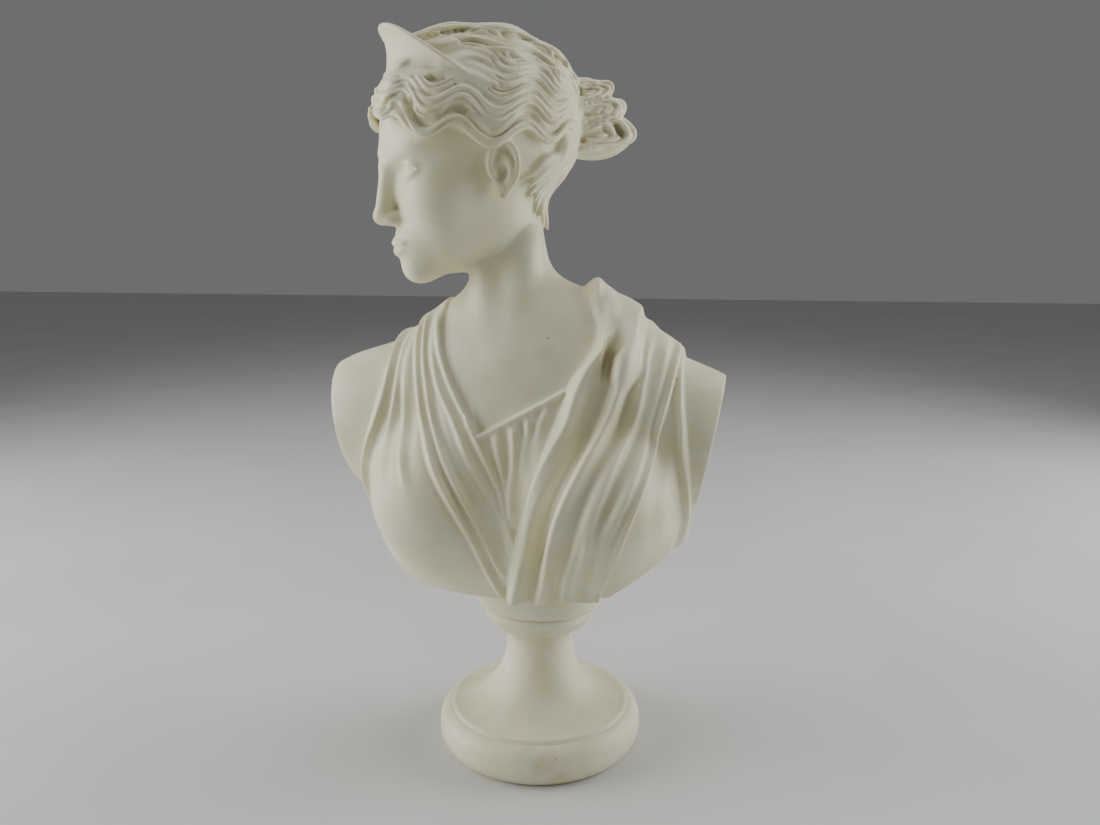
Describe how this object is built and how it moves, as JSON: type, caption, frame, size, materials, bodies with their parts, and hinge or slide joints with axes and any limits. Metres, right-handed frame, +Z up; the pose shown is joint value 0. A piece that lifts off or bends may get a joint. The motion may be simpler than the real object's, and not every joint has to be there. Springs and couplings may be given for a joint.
{
  "type": "classical bust on a turned socle",
  "caption": "Small cast bust of a classical huntress with diadem, knotted hair and draped dress, on a turned waisted socle.",
  "frame": {"origin": "centre of the socle's round underside, where it stands", "axes": "+Z up the socle's axis, -Y the way the chest faces, +X to the figure's left"},
  "size_m": [0.2182, 0.1324, 0.4006],
  "materials": {
    "bust": "satin cast stone",
    "socle": "satin cast stone"
  },
  "bodies": {
    "root": {"bust": "bust", "socle": "socle"}
  },
  "joints": []
}
